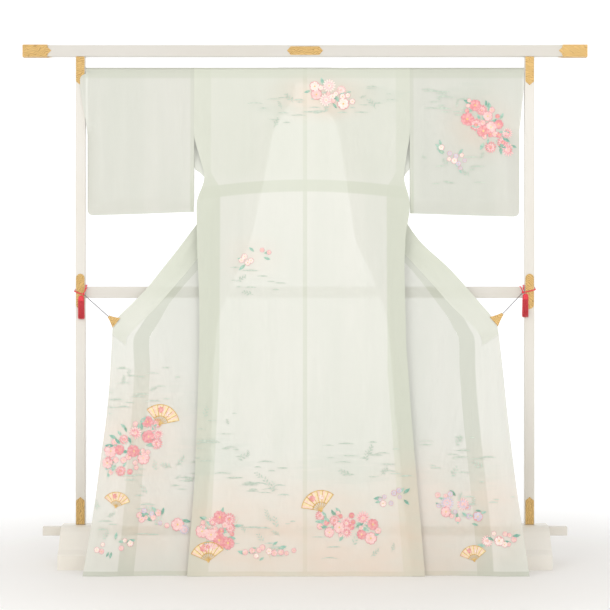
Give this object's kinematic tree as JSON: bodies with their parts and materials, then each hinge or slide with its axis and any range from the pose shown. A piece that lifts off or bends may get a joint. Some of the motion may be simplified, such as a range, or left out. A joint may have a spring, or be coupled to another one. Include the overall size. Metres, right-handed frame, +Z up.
{
  "type": "kimono hung on a kimono rack",
  "caption": "Sheer pale summer kimono hung by its sleeves on a white kimono rack with gilt fittings, clips and tassels",
  "frame": {"origin": "middle of the bounding box, on the floor", "axes": "+X along the rack to the viewer's right, +Y away from the viewer, from the garment's back to its fronts, +Z up"},
  "size_m": [1.803, 0.4417, 1.6585],
  "materials": {
    "white_paint": "satin white paint",
    "gold_brass": "gilt, engraved",
    "red_silk_cord": "silk cord",
    "grey_cord": "thin braided cord",
    "mint_silk": "sheer silk gauze",
    "mint_silk_collar": "sheer silk gauze, double"
  },
  "bodies": {
    "root": {"top_rail": "white_paint", "middle_rail": "white_paint", "bottom_rail": "white_paint", "pole": "white_paint", "upright_left": "white_paint", "upright_right": "white_paint", "foot_left": "white_paint", "foot_right": "white_paint", "rail_plate_centre": "gold_brass", "rail_cap_left": "gold_brass", "top_plate_left": "gold_brass", "middle_plate_left": "gold_brass", "base_plate_left": "gold_brass", "rail_cap_right": "gold_brass", "top_plate_right": "gold_brass", "middle_plate_right": "gold_brass", "base_plate_right": "gold_brass", "back_left": "mint_silk", "front_left": "mint_silk", "okumi_left": "mint_silk", "sleeve_left_back": "mint_silk", "sleeve_left_front": "mint_silk", "back_right": "mint_silk", "front_right": "mint_silk", "okumi_right": "mint_silk", "sleeve_right_back": "mint_silk", "sleeve_right_front": "mint_silk", "collar": "mint_silk_collar", "clip_left": "gold_brass", "cord_left": "grey_cord", "tie_left": "red_silk_cord", "tail_left": "red_silk_cord", "knot_left": "red_silk_cord", "tassel_left": "red_silk_cord", "clip_right": "gold_brass", "cord_right": "grey_cord", "tie_right": "red_silk_cord", "tail_right": "red_silk_cord", "knot_right": "red_silk_cord", "tassel_right": "red_silk_cord"}
  },
  "joints": []
}
